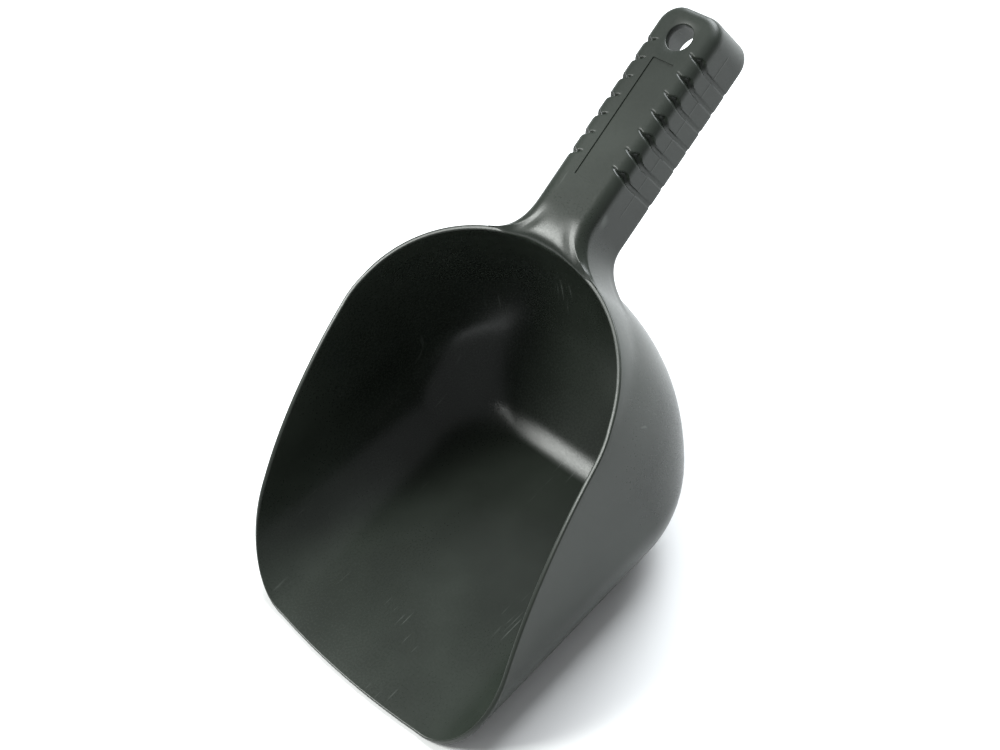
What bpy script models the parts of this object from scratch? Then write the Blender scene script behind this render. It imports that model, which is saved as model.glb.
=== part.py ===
"""Feed scoop: one injection moulding, modelled as the walls and plates that the moulding is made of.

Metres, +Z up. The floor stands on z = 0, the lip faces -Y and the handle rises towards +Y.
"""
import math

import bpy
import numpy as np

MM = 0.001

# Driving dimensions, in millimetres and degrees
GAP = 0.3                    # between neighbouring regions of the moulding
WALL = 2.3                   # bowl wall and floor thickness

HALF_WIDTH_LOW = 84.6        # bowl, outside, at the floor, measured to the virtual corner
HALF_WIDTH_HIGH = 79.2       # bowl, outside, at the height of the back of the rim
SIDE_SWELL = 1.8             # how far the side walls swell out at mid height
SIDE_FILLET = 37.0           # outside radius between floor and side walls
BACK_FILLET = 8.0            # outside radius between floor and back wall
FLOOR_LENGTH = 145.0         # lip to the foot of the back wall
RIM_LENGTH = 177.6           # lip to the back of the rim
BACK_BULGE = 26.0            # how far the back wall swells out at mid height
FLOOR_CORNER = 26.5          # plan radius of the back corners at the floor
RIM_CORNER = 83.0            # plan radius of the back corners at the rim
LIP_BOW = 2.4                # the lip bows forward this far between its corners
LIP_BOW_FADE = 60.0          # and the rim follows it over this length
BACK_FLAT = 5.0              # the back keeps at least this half width straight between its corners
RIM_HEIGHT = 118.6           # back of the rim above the floor

RIM_FRONT_ANGLE = 45.2       # the rim's slope as it leaves the lip
RIM_REAR_ANGLE = 12.6        # the rim's slope along the back
RIM_BEND = 292.0             # radius that joins the two slopes

HANDLE_RISE = 19.5           # degrees above the floor
HANDLE_LIFT = 5.6            # handle's top face above the back of the rim
HANDLE_LENGTH = 120.0        # back of the rim to the end of the grip
TOP_HALF = 12.6              # half width of the flat top face
SHOULDER_HALF = 17.0         # half width under the chamfer
FOOT_HALF = 18.5             # half width at the open underside
CHAMFER_DROP = 2.1
GRIP_DEPTH = 26.0
TOP_PLATE = 3.2
GRIP_WALL = 2.8
END_RADIUS = 12.0            # plan radius of the grip's two end corners

GROOVES = 7
GROOVE_PITCH = 9.6
GROOVE_WIDTH = 3.4
GROOVE_DEPTH = 1.4
FIRST_GROOVE = 24.6          # from the end of the grip

HOLE_RADIUS = 6.4
HOLE_FROM_END = 15.7

NECK_LENGTH = 24.0           # stretch over which the grip flares into the bowl
NECK_REACH = 36.0            # half width of the flare where it meets the back wall

SIDE_COLUMNS = 14
CORNER_COLUMNS = 10
BACK_COLUMNS = 4
LIP_COLUMNS = 14
WALL_ROWS = 12


# Bowl, outside surface ---------------------------------------------------------------------

def lip_setback(x):
    """How far the gently bowed lip falls back to its corners."""
    return LIP_BOW * (x / (HALF_WIDTH_LOW - SIDE_FILLET)) ** 2


def rim_height(y):
    """Height of the rim over a point: two slopes joined by a bend."""
    y -= LIP_BOW * max(1 - y / LIP_BOW_FADE, 0) ** 2
    front = math.tan(math.radians(RIM_FRONT_ANGLE))
    rear = math.tan(math.radians(RIM_REAR_ANGLE))
    meet = (RIM_HEIGHT - rear * RIM_LENGTH) / (front - rear)
    run = RIM_BEND * math.tan(math.radians(RIM_FRONT_ANGLE - RIM_REAR_ANGLE) / 2)
    start = meet - run * math.cos(math.radians(RIM_FRONT_ANGLE))
    stop = meet + run * math.cos(math.radians(RIM_REAR_ANGLE))
    if y <= start:
        return front * y
    if y >= stop:
        return RIM_HEIGHT + rear * (y - RIM_LENGTH)
    centre_y = start + RIM_BEND * math.sin(math.radians(RIM_FRONT_ANGLE))
    centre_z = front * start - RIM_BEND * math.cos(math.radians(RIM_FRONT_ANGLE))
    return centre_z + math.sqrt(RIM_BEND ** 2 - (y - centre_y) ** 2)


def fillet_inset(z, radius):
    """How far a fillet of this radius holds the wall in at height z."""
    if z >= radius:
        return 0.0
    return radius - math.sqrt(radius ** 2 - (radius - z) ** 2)


def section_size(z):
    """Half width, back and corner radius of the bowl's outside at height z."""
    share = z / RIM_HEIGHT
    half = HALF_WIDTH_LOW + (HALF_WIDTH_HIGH - HALF_WIDTH_LOW) * share
    half += SIDE_SWELL * 4 * share * (1 - share) - fillet_inset(z, SIDE_FILLET)
    back = FLOOR_LENGTH + (RIM_LENGTH - FLOOR_LENGTH) * share
    back += BACK_BULGE * 4 * share * (1 - share) - fillet_inset(z, BACK_FILLET)
    radius = FLOOR_CORNER + (RIM_CORNER - FLOOR_CORNER) * share ** 0.82
    return half, back, min(radius, half - BACK_FLAT)


def round_outline(t, half, back, radius):
    """Right half of a plan: t is 0 at the lip, 1 at the side's end, 2 after the corner, 3 at the middle."""
    if t <= 1:
        return half, LIP_BOW + t * (back - radius - LIP_BOW)
    if t <= 2:
        turn = (t - 1) * math.pi / 2
        return half - radius + radius * math.cos(turn), back - radius + radius * math.sin(turn)
    return (3 - t) * (half - radius), back


def outline_point(t, z):
    """Outside of the bowl at height z, at the place t of its plan."""
    half, back, radius = section_size(z)
    return round_outline(t, half, back, radius)


def top_of_column(t):
    """Height at which the wall's generator line t meets the rim."""
    low, high = 0.0, RIM_HEIGHT * 1.3
    for _ in range(40):
        middle = (low + high) / 2
        if rim_height(outline_point(t, middle)[1]) > middle:
            low = middle
        else:
            high = middle
    return low


def bowl_point(t, s):
    """Outside surface; t runs 0 to 3 on the right and on to 6 on the left, s from the floor to the rim."""
    mirrored = t > 3
    column = 6 - t if mirrored else t
    z = top_of_column(column) * s * s
    x, y = outline_point(column, z)
    return np.array([-x if mirrored else x, y, z])


def bowl_normal(t, s):
    """Unit normal that points out of the bowl."""
    step = 1e-3
    t_low, t_high = max(t - step, 0), min(t + step, 6)
    s_low, s_high = max(s - step, 0), min(s + step, 1)
    along = bowl_point(t_high, s) - bowl_point(t_low, s)
    up = bowl_point(t, s_high) - bowl_point(t, s_low)
    normal = np.cross(along, up)
    return normal / np.linalg.norm(normal)


def back_wall_y(x, z):
    """How far back the outside of the bowl reaches at this x and z."""
    half, back, radius = section_size(z)
    over = abs(x) - (half - radius)
    if over <= 0:
        return back
    return back - radius + math.sqrt(max(radius ** 2 - over ** 2, 0))


# Handle frame ------------------------------------------------------------------------------

RISE = math.radians(HANDLE_RISE)
NECK_Y = RIM_LENGTH - HANDLE_LIFT * math.sin(RISE)
NECK_Z = RIM_HEIGHT + HANDLE_LIFT * math.cos(RISE)
OVERALL_LENGTH = NECK_Y + HANDLE_LENGTH * math.cos(RISE) + GRIP_DEPTH * math.sin(RISE)
ORIGIN_Y = OVERALL_LENGTH / 2   # the lip is at y = 0 in every function above; the object's origin is here


def from_handle(x, along, up):
    """World place of a point given across, along and square to the handle's top face."""
    y = NECK_Y + along * math.cos(RISE) - up * math.sin(RISE)
    z = NECK_Z + along * math.sin(RISE) + up * math.cos(RISE)
    return np.array([x, y, z])


def grip_half(up):
    """Half width of the grip at this depth under its top face (up is negative)."""
    share = (-up - CHAMFER_DROP) / (GRIP_DEPTH - CHAMFER_DROP)
    return SHOULDER_HALF + (FOOT_HALF - SHOULDER_HALF) * max(share, 0)


def groove_cut(along):
    """Depth of the saw-tooth grooves at this place on the grip."""
    for index in range(GROOVES):
        bottom = HANDLE_LENGTH - FIRST_GROOVE - index * GROOVE_PITCH
        place = (along - bottom) / GROOVE_WIDTH
        if 0 <= place <= 1:
            return GROOVE_DEPTH * (1 - place)
    return 0.0


# Mesh helpers ------------------------------------------------------------------------------

def make_material(name, colour, roughness):
    material = bpy.data.materials.new(name)
    material.use_nodes = True
    shader = material.node_tree.nodes["Principled BSDF"]
    shader.inputs["Base Color"].default_value = (*colour, 1)
    shader.inputs["Roughness"].default_value = roughness
    shader.inputs["Metallic"].default_value = 0
    return material


def make_object(name, points, faces, colour):
    mesh = bpy.data.meshes.new(name)
    origin = np.array([0.0, ORIGIN_Y, 0.0])
    mesh.from_pydata([tuple((np.asarray(p) - origin) * MM) for p in points], [], faces)
    mesh.validate()
    mesh.shade_smooth()
    mesh.set_sharp_from_angle(angle=math.radians(35))
    mesh.materials.append(make_material(name + "_plastic", colour, 0.42))
    made = bpy.data.objects.new(name, mesh)
    bpy.context.scene.collection.objects.link(made)
    return made


def sheet_solid(name, front, back, colour):
    """Closed solid between two sheets of points, each rows by columns, front seen from outside."""
    front = np.asarray(front)
    back = np.asarray(back)
    rows, columns = front.shape[:2]
    points = list(front.reshape(-1, 3)) + list(back.reshape(-1, 3))
    offset = rows * columns
    faces = []

    def at(row, column, side):
        return side * offset + row * columns + column

    for row in range(rows - 1):
        for column in range(columns - 1):
            a, b = at(row, column, 0), at(row, column + 1, 0)
            c, d = at(row + 1, column + 1, 0), at(row + 1, column, 0)
            faces.append((a, b, c, d))
            faces.append((d + offset, c + offset, b + offset, a + offset))
    edge = [(0, column) for column in range(columns)]
    edge += [(row, columns - 1) for row in range(1, rows)]
    edge += [(rows - 1, column) for column in range(columns - 2, -1, -1)]
    edge += [(row, 0) for row in range(rows - 2, 0, -1)]
    for index, place in enumerate(edge):
        following = edge[(index + 1) % len(edge)]
        a, b = at(*place, 0), at(*following, 0)
        faces.append((b, a, a + offset, b + offset))
    return make_object(name, points, faces, colour)


def as_drawn(x, y, z):
    return np.array([x, y, z])


def prism(name, outline, low, high, colour, place):
    """Closed prism: the outline (anticlockwise from above) between two levels, put in place by a function."""
    count = len(outline)
    points = [place(x, y, low) for x, y in outline] + [place(x, y, high) for x, y in outline]
    faces = [tuple(range(count - 1, -1, -1)), tuple(range(count, 2 * count))]
    for index in range(count):
        following = (index + 1) % count
        faces.append((index, following, following + count, index + count))
    return make_object(name, points, faces, colour)


# Bowl --------------------------------------------------------------------------------------

PLASTIC = (0.030, 0.036, 0.030)
SIDE_START = 0.018           # the wall starts where the lip's corner has begun to rise
SIDE_STOP = 0.93             # the side walls end here and the back corners begin
CORNER_SPLIT = 1.5           # and here the corners end and the back wall begins


def make_floor():
    """Flat floor inside the foot of the walls."""
    half, back, radius = section_size(0.0)
    inset = 1.5 * GAP
    columns = [0.0] + list(np.linspace(1, 2, CORNER_COLUMNS + 1)) + [3.0]
    right = [round_outline(t, half - inset, back - inset, radius - inset) for t in columns]
    left = [(-x, y) for x, y in reversed(right[:-1])]
    corner = half - inset
    lip = [(x, lip_setback(x)) for x in np.linspace(-corner, corner, LIP_COLUMNS + 1)[1:-1]]
    prism("bowl_floor", right + left + lip, 0.0, WALL, PLASTIC, as_drawn)


def wall_sheets(columns):
    outside, inside = [], []
    for row in range(WALL_ROWS + 1):
        s = row / WALL_ROWS
        outer = [bowl_point(t, s) for t in columns]
        outside.append(outer)
        inside.append([p - WALL * bowl_normal(t, s) for p, t in zip(outer, columns)])
    return outside, inside


def make_side_walls():
    columns = list(np.linspace(SIDE_START ** 0.5, SIDE_STOP ** 0.5, SIDE_COLUMNS + 1) ** 2)
    outside, inside = wall_sheets(columns)
    sheet_solid("bowl_right_wall", outside, inside, PLASTIC)
    columns = [6 - t for t in reversed(columns)]
    outside, inside = wall_sheets(columns)
    sheet_solid("bowl_left_wall", outside, inside, PLASTIC)


def make_back_walls():
    """The rounded back, in a right corner, a middle and a left corner."""
    depth = section_size(RIM_HEIGHT / 2)[1]
    start = SIDE_STOP + 1.3 * GAP / (depth - FLOOR_CORNER)
    seam = 1.5 * GAP / (FLOOR_CORNER * math.pi / 2)
    corner = list(np.linspace(start, CORNER_SPLIT - seam / 2, CORNER_COLUMNS + 1))
    side = list(np.linspace(CORNER_SPLIT + seam / 2, 2, CORNER_COLUMNS // 2 + 1))
    side += list(np.linspace(2, 3, BACK_COLUMNS + 1))[1:]
    runs = (
        ("bowl_right_corner", corner),
        ("bowl_back_wall", side + [6 - t for t in reversed(side[:-1])]),
        ("bowl_left_corner", [6 - t for t in reversed(corner)]),
    )
    for name, columns in runs:
        outside, inside = wall_sheets(columns)
        sheet_solid(name, outside, inside, PLASTIC)


# Handle ------------------------------------------------------------------------------------

def grip_plan(half, reach):
    """Right half of the grip's plan from the neck to the middle of the rounded end."""
    radius = END_RADIUS - (FOOT_HALF - half)
    points = [(half, reach - radius)]
    for step in range(1, 7):
        turn = step * math.pi / 12
        points.append((half - radius + radius * math.cos(turn), reach - radius + radius * math.sin(turn)))
    return points


def make_top_plate():
    """Top face of the grip with its chamfered edges and the hang hole."""
    levels = ((0.0, TOP_HALF), (-CHAMFER_DROP, SHOULDER_HALF), (-TOP_PLATE, SHOULDER_HALF))
    rings = []
    for up, half in levels:
        inset = SHOULDER_HALF - half
        right = [(half, NECK_LENGTH + GAP)] + grip_plan(half, HANDLE_LENGTH - inset)
        left = [(-x, y) for x, y in reversed(right)]
        rings.append([from_handle(x, y, up) for x, y in right + left])
    count = len(rings[0])
    points = [p for ring in rings for p in ring]
    faces = [tuple(range(count)), tuple(range(3 * count - 1, 2 * count - 1, -1))]
    for ring in range(2):
        for index in range(count):
            following = (index + 1) % count
            top, low = ring * count, (ring + 1) * count
            faces.append((top + index, low + index, low + following, top + following))
    plate = make_object("handle_top_plate", points, faces, PLASTIC)

    hole = []
    for step in range(24):
        turn = step * math.pi / 12
        along = HANDLE_LENGTH - HOLE_FROM_END + HOLE_RADIUS * math.sin(turn)
        hole.append((HOLE_RADIUS * math.cos(turn), along))
    cutter = prism("hang_hole_cutter", hole, -2 * TOP_PLATE, TOP_PLATE, PLASTIC, from_handle)
    cutter.hide_render = True
    cutter.display_type = "WIRE"
    cut = plate.modifiers.new("hang_hole", "BOOLEAN")
    cut.operation = "DIFFERENCE"
    cut.solver = "EXACT"
    cut.object = cutter


def groove_stations():
    """Places along the grip where its side changes direction."""
    places = [NECK_LENGTH + GAP, HANDLE_LENGTH - END_RADIUS - GAP]
    for index in range(GROOVES):
        bottom = HANDLE_LENGTH - FIRST_GROOVE - index * GROOVE_PITCH
        places += [bottom - 0.3, bottom, bottom + GROOVE_WIDTH]
    return sorted(places)


def make_grip_sides():
    levels = np.linspace(-(TOP_PLATE + GAP), -GRIP_DEPTH, 4)
    for name, side in (("grip_right_side", 1), ("grip_left_side", -1)):
        outside, inside = [], []
        for up in levels[::-1]:
            outer, inner = [], []
            for along in groove_stations():
                outer.append(from_handle(side * (grip_half(up) - groove_cut(along)), along, up))
                inner.append(from_handle(side * (grip_half(up) - GRIP_WALL), along, up))
            outside.append(outer if side > 0 else outer[::-1])
            inside.append(inner if side > 0 else inner[::-1])
        sheet_solid(name, outside, inside, PLASTIC)


def make_grip_end():
    """Rounded end wall under the top plate."""
    levels = np.linspace(-(TOP_PLATE + GAP), -GRIP_DEPTH, 3)
    outside, inside = [], []
    for up in levels[::-1]:
        half = grip_half(up)
        reach = HANDLE_LENGTH - (FOOT_HALF - half)
        right = grip_plan(half, reach)
        inner = [(half - GRIP_WALL, right[0][1])]
        radius = END_RADIUS - (FOOT_HALF - half)
        for step in range(1, 7):
            turn = step * math.pi / 12
            inner.append((
                half - radius + (radius - GRIP_WALL) * math.cos(turn),
                reach - radius + (radius - GRIP_WALL) * math.sin(turn),
            ))
        outer_row = right + [(-x, y) for x, y in reversed(right)]
        inner_row = inner + [(-x, y) for x, y in reversed(inner)]
        outside.append([from_handle(x, y, up) for x, y in outer_row])
        inside.append([from_handle(x, y, up) for x, y in inner_row])
    sheet_solid("grip_end_wall", outside, inside, PLASTIC)


# Neck --------------------------------------------------------------------------------------

def wall_along(x, up):
    """Place along the handle where this line across meets the outside of the bowl."""
    along = 0.0
    for _ in range(30):
        _, y, z = from_handle(x, along, up)
        along += (back_wall_y(x, z) - y) * 0.7
    return along


def neck_curve(up, steps):
    """Right side of the neck at this depth: straight off the grip, then sweeping into the bowl."""
    half = grip_half(up)
    start = np.array([half, NECK_LENGTH])
    corner = np.array([half, wall_along(half, up) + 4.0])
    stop = np.array([NECK_REACH, wall_along(NECK_REACH, up) + 2 * GAP])
    points = []
    for step in range(steps + 1):
        t = step / steps
        points.append((1 - t) ** 2 * start + 2 * t * (1 - t) * corner + t * t * stop)
    return points


def make_neck_webs():
    """Walls that carry the grip's sides out to the bowl, thinning to nothing as they reach it."""
    levels = np.linspace(-(TOP_PLATE + GAP), -GRIP_DEPTH, 5)
    steps = 8
    for name, side in (("neck_right_web", 1), ("neck_left_web", -1)):
        outside, inside = [], []
        for up in levels[::-1]:
            curve = neck_curve(up, steps)
            outer, inner = [], []
            for index, point in enumerate(curve):
                before = curve[max(index - 1, 0)]
                after = curve[min(index + 1, steps)]
                run = (after - before) / np.linalg.norm(after - before)
                inward = np.array([run[1], -run[0]])
                held = point + GRIP_WALL * inward
                held[1] = max(held[1], wall_along(held[0], up) + GAP)
                outer.append(from_handle(side * point[0], point[1], up))
                inner.append(from_handle(side * held[0], held[1], up))
            outside.append(outer[::-1] if side > 0 else outer)
            inside.append(inner[::-1] if side > 0 else inner)
        sheet_solid(name, outside, inside, PLASTIC)


def make_neck_top():
    """Top of the neck, from the grip's top plate to the back of the bowl."""
    steps = 8
    right = neck_curve(-TOP_PLATE, steps)
    edge = [np.array([x, along]) for x, along in right]
    wall = []
    for step in range(9):
        x = NECK_REACH * (1 - step / 8)
        wall.append(np.array([x, wall_along(x, -TOP_PLATE) + GAP]))
    half_outline = edge[:-1] + wall
    outline = [(-x, y) for x, y in half_outline[:-1]] + [tuple(p) for p in half_outline[::-1]]
    prism("neck_top", outline, -TOP_PLATE, 0.0, PLASTIC, from_handle)


def main():
    for old in list(bpy.data.objects):
        bpy.data.objects.remove(old)
    make_floor()
    make_side_walls()
    make_back_walls()
    make_top_plate()
    make_grip_sides()
    make_grip_end()
    make_neck_webs()
    make_neck_top()


main()
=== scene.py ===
import math

import bmesh
import bpy
import numpy as np
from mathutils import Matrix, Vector
from mathutils.geometry import delaunay_2d_cdt


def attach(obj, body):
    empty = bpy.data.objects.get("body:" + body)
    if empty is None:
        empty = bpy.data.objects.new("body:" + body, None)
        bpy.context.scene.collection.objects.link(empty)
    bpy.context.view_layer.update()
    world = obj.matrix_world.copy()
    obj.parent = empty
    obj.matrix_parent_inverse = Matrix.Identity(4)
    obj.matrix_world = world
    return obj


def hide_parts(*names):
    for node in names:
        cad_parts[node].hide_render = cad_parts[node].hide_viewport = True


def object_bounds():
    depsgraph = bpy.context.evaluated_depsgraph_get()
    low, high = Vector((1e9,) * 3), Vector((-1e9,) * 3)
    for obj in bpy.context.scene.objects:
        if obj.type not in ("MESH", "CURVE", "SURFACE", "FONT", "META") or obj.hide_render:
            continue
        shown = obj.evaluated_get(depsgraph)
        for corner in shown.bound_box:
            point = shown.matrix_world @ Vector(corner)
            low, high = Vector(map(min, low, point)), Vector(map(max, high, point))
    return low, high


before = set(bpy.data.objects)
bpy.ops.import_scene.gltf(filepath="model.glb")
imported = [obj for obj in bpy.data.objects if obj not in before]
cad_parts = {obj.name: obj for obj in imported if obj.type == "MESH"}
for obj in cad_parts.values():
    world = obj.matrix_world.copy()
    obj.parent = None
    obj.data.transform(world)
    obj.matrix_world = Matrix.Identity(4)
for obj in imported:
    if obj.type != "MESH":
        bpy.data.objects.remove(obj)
cad_low, cad_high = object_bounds()

# Sizes, in millimetres and degrees -------------------------------------------------------------

MM = 0.001
LIP_Y = cad_low.y / MM             # the design functions below count y from the lip

WALL = 2.3                         # bowl wall and floor
HALF_WIDTH_LOW = 84.6              # bowl, outside, at the floor's virtual corner
HALF_WIDTH_HIGH = 79.2             # and at the height of the back of the rim
SIDE_SWELL = 1.8
SIDE_FILLET = 37.0                 # outside radius between floor and side walls
BACK_FILLET = 7.0                  # outside radius between floor and back wall
FLOOR_LENGTH = 145.0
RIM_LENGTH = 177.6
BACK_BULGE = 26.0                  # how far the back wall swells out at mid height
FLOOR_CORNER = 26.5                # plan radius of the back corners at the floor
RIM_CORNER = 83.0                  # and at the rim
LIP_BOW = 2.4                      # the lip bows forward this far between its corners
LIP_BOW_FADE = 60.0                # and the rim follows it over this length
BACK_FLAT = 5.0
RIM_HEIGHT = 118.6
RIM_FRONT_ANGLE = 45.2
RIM_REAR_ANGLE = 12.6
RIM_BEND = 292.0
RIM_ROUND = 0.8                    # height of the rounding on every free edge of the bowl
RIM_FULLNESS = 0.6                 # under 1 the rounded edge is fuller than a half circle

HANDLE_RISE = 19.5
HANDLE_LIFT = 5.6                  # handle's top face above the back of the rim
HANDLE_LENGTH = 120.0
NECK_LENGTH = 24.3
GRIP_DEPTH = 26.0
GRIP_WALL = 2.8
TOP_PLATE = 3.2
FLAT_HALF = 7.8                    # the flat middle of the handle's top face
SHOULDER_START = 10.2              # half width where the top face begins to round over
SHOULDER_HALF = 17.2               # half width under the rounded shoulder
SHOULDER_DROP = 5.2
FOOT_HALF = 18.5                   # half width at the open underside
FOOT_ROUND = 0.7
HOLLOW_FILLET = 1.6                # inside the grip, between its top plate and its walls
END_SLOPE = 0.55                   # the end rounds over in this share of the shoulder's width
END_RADIUS = 12.0                  # plan radius of the grip's end corners

GROOVES = 7
GROOVE_PITCH = 9.6
FIRST_GROOVE = 95.4                # the one nearest the end, along the handle
GROOVE_WIDTH = 2.3
GROOVE_DEPTH = 0.85
MOUTH_WIDTH = 2.4                  # a groove is this much wider
MOUTH_DEPTH = 1.4                  # and deeper where it crosses the shoulder
GROOVE_FOOT_SHARE = 0.35           # and this shallow at the foot
SLOT_SLANT = 3.9                   # how far the groove leans to the end as it crosses the shoulder
SLOT_START = 9.1                   # girth from the centre line at which the slot begins
SLOT_END = 17.0                    # and at which it has become a groove of full width
SLOT_RUN_IN = 0.22                 # share of the slot over which it reaches its depth
GROOVE_EDGE = 0.45                 # length over which a groove's edges run out
MOUTH_FROM = 0.3                   # share of the slot after which its mouth opens
MOUTH_SHUT_START = -0.5            # the mouth closes between these girths past the slot
MOUTH_SHUT_END = 4.5
FOOT_FADE_START = 4.0              # and the groove grows shallow between these
FOOT_FADE_END = 21.0
PARTING_LINE_DROP = 13.0           # depth of the mould's parting line under the top face
PARTING_LINE_RISE = 0.10
PARTING_LINE_HALF = 0.3            # half width of its foot
PARTING_LINE_CREST = 0.05          # and of its crest
PARTING_LINE_FADE = 6.0            # it rises from the neck over this length

PANEL_START = 32.0                 # bare sunk panel on the top face, along the handle
PANEL_STOP = 92.2
PANEL_HALF = 6.0
PANEL_DEPTH = 0.45
PANEL_CORNER = 0.5
PANEL_SLOPE = 0.12                 # how far the panel's walls lean in
HOLE_ALONG = 104.3
HOLE_RADIUS = 6.4
HOLE_BEVEL = 0.4
HOLE_EASE = 0.12                   # middle of the bevel, which makes it round

NECK_RIM_REACH = 35.0              # half width at which the flared top of the neck meets the rim
NECK_FOOT_REACH = 41.0             # half width at which the foot of the neck meets the bowl
NECK_TOP_TURN = 6.5                # how early the neck's top face turns down to the rim
NECK_EDGE_TURN = 2.4               # and its edges
NECK_FLARE_START = 16.5            # along the handle, where the neck begins to flare
NECK_HANDLE = 0.62                 # fullness of the flare
HOLLOW_TOP_REACH = 16.0            # half width of the neck's hollow at the bowl, under its top
HOLLOW_TOP_DROP = 10.5             # and its depth there
HOLLOW_FOOT_INSET = 5.0            # at the foot it stays this far inside the neck
HOLLOW_SINK = 1.0                  # and it ends this deep in the bowl's wall

RISE = math.radians(HANDLE_RISE)
NECK_Y = RIM_LENGTH - HANDLE_LIFT * math.sin(RISE)
NECK_Z = RIM_HEIGHT + HANDLE_LIFT * math.cos(RISE)


# Bowl shape ------------------------------------------------------------------------------------

def smooth(value):
    """Eases from 0 to 1, and stays there outside that range."""
    value = min(max(value, 0.0), 1.0)
    return value * value * (3 - 2 * value)


def bow_share(y):
    """How much of the lip's bow the side still follows this far from the lip."""
    return min(max(1 - (y - LIP_BOW) / LIP_BOW_FADE, 0), 1) ** 2


def rim_height(y):
    """Height of the rim over a point: two slopes joined by a bend."""
    y -= LIP_BOW * bow_share(y)
    front = math.tan(math.radians(RIM_FRONT_ANGLE))
    rear = math.tan(math.radians(RIM_REAR_ANGLE))
    meet = (RIM_HEIGHT - rear * RIM_LENGTH) / (front - rear)
    run = RIM_BEND * math.tan(math.radians(RIM_FRONT_ANGLE - RIM_REAR_ANGLE) / 2)
    start = meet - run * math.cos(math.radians(RIM_FRONT_ANGLE))
    stop = meet + run * math.cos(math.radians(RIM_REAR_ANGLE))
    if y <= start:
        return front * y
    if y >= stop:
        return RIM_HEIGHT + rear * (y - RIM_LENGTH)
    centre_y = start + RIM_BEND * math.sin(math.radians(RIM_FRONT_ANGLE))
    centre_z = front * start - RIM_BEND * math.cos(math.radians(RIM_FRONT_ANGLE))
    return centre_z + math.sqrt(RIM_BEND ** 2 - (y - centre_y) ** 2)


def trimmed_rim(y):
    """The rim's height before its edge is rounded."""
    return rim_height(y - RIM_ROUND) - RIM_ROUND * smooth(y / RIM_LENGTH)


def fillet_inset(z, radius):
    """How far a fillet of this radius holds the wall in at height z."""
    if z >= radius:
        return 0.0
    return radius - math.sqrt(radius ** 2 - (radius - z) ** 2)


def section_size(z):
    """Half width, back and corner radius of the bowl's outside at height z."""
    share = z / RIM_HEIGHT
    half = HALF_WIDTH_LOW + (HALF_WIDTH_HIGH - HALF_WIDTH_LOW) * share
    half += SIDE_SWELL * 4 * share * (1 - share) - fillet_inset(z, SIDE_FILLET)
    back = FLOOR_LENGTH + (RIM_LENGTH - FLOOR_LENGTH) * share
    back += BACK_BULGE * 4 * share * (1 - share) - fillet_inset(z, BACK_FILLET)
    radius = FLOOR_CORNER + (RIM_CORNER - FLOOR_CORNER) * share ** 0.82
    return half, back, min(radius, half - BACK_FLAT)


def outline_point(t, z):
    """Outside of the right half of the bowl at height z.

    The place t is 0 at the lip, 1 where the corner begins, 2 where it ends and 3 in the middle behind.
    """
    half, back, radius = section_size(z)
    if t <= 1:
        start = RIM_ROUND + LIP_BOW
        return half, start + t * (back - radius - start)
    if t <= 2:
        turn = (t - 1) * math.pi / 2
        return half - radius + radius * math.cos(turn), back - radius + radius * math.sin(turn)
    return (3 - t) * (half - radius), back


def top_of_column(t, rim=trimmed_rim):
    """Height at which the wall's generator line t meets the rim."""
    low, high = 0.0, RIM_HEIGHT * 1.3
    for _ in range(36):
        middle = (low + high) / 2
        if rim(outline_point(t, middle)[1]) > middle:
            low = middle
        else:
            high = middle
    return low


def wall_point(t, z):
    x, y = outline_point(t, z)
    return np.array([x, y, z])


def wall_normal(t, z):
    """Unit normal out of the right half of the bowl."""
    if z < 1e-6:
        return np.array([0.0, 0.0, -1.0])
    step = 1e-3
    t_low, t_high = max(t - step, 0), min(t + step, 3 - 1e-6)
    if t >= 3 - 2e-6:
        along = np.array([-1.0, 0.0, 0.0])
    else:
        along = wall_point(t_high, z) - wall_point(t_low, z)
    lift = min(step, z / 2)
    up = wall_point(t, z + lift) - wall_point(t, z - lift)
    normal = np.cross(along, up)
    return normal / np.linalg.norm(normal)


def back_wall_y(x, z):
    """How far back the outside of the bowl reaches at this x and z."""
    half, back, radius = section_size(z)
    over = abs(x) - (half - radius)
    if over <= 0:
        return back
    return back - radius + math.sqrt(max(radius ** 2 - over ** 2, 0))


# Placing and meshing ---------------------------------------------------------------------------

def from_handle(x, along, up):
    """Place of a point given across, along and square to the handle's top face."""
    y = NECK_Y + along * math.cos(RISE) - up * math.sin(RISE)
    z = NECK_Z + along * math.sin(RISE) + up * math.cos(RISE)
    return np.array([x, y, z])


def handle_direction(x, along, up):
    """Direction given across, along and square to the handle's top face."""
    return from_handle(x, along, up) - from_handle(0, 0, 0)


def mesh_object(name, points, faces, merge=0.004):
    """An object from points in millimetres, with its doubles merged and its faces turned outwards."""
    shift = np.array([0.0, LIP_Y, 0.0])
    mesh = bpy.data.meshes.new(name)
    mesh.from_pydata([tuple((p + shift) * MM) for p in points], [], faces)
    work = bmesh.new()
    work.from_mesh(mesh)
    bmesh.ops.remove_doubles(work, verts=work.verts, dist=merge * MM)
    bmesh.ops.dissolve_degenerate(work, edges=work.edges, dist=merge * MM / 4)
    bmesh.ops.recalc_face_normals(work, faces=work.faces)
    work.to_mesh(mesh)
    work.free()
    made = bpy.data.objects.new(name, mesh)
    bpy.context.scene.collection.objects.link(made)
    return made


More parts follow.
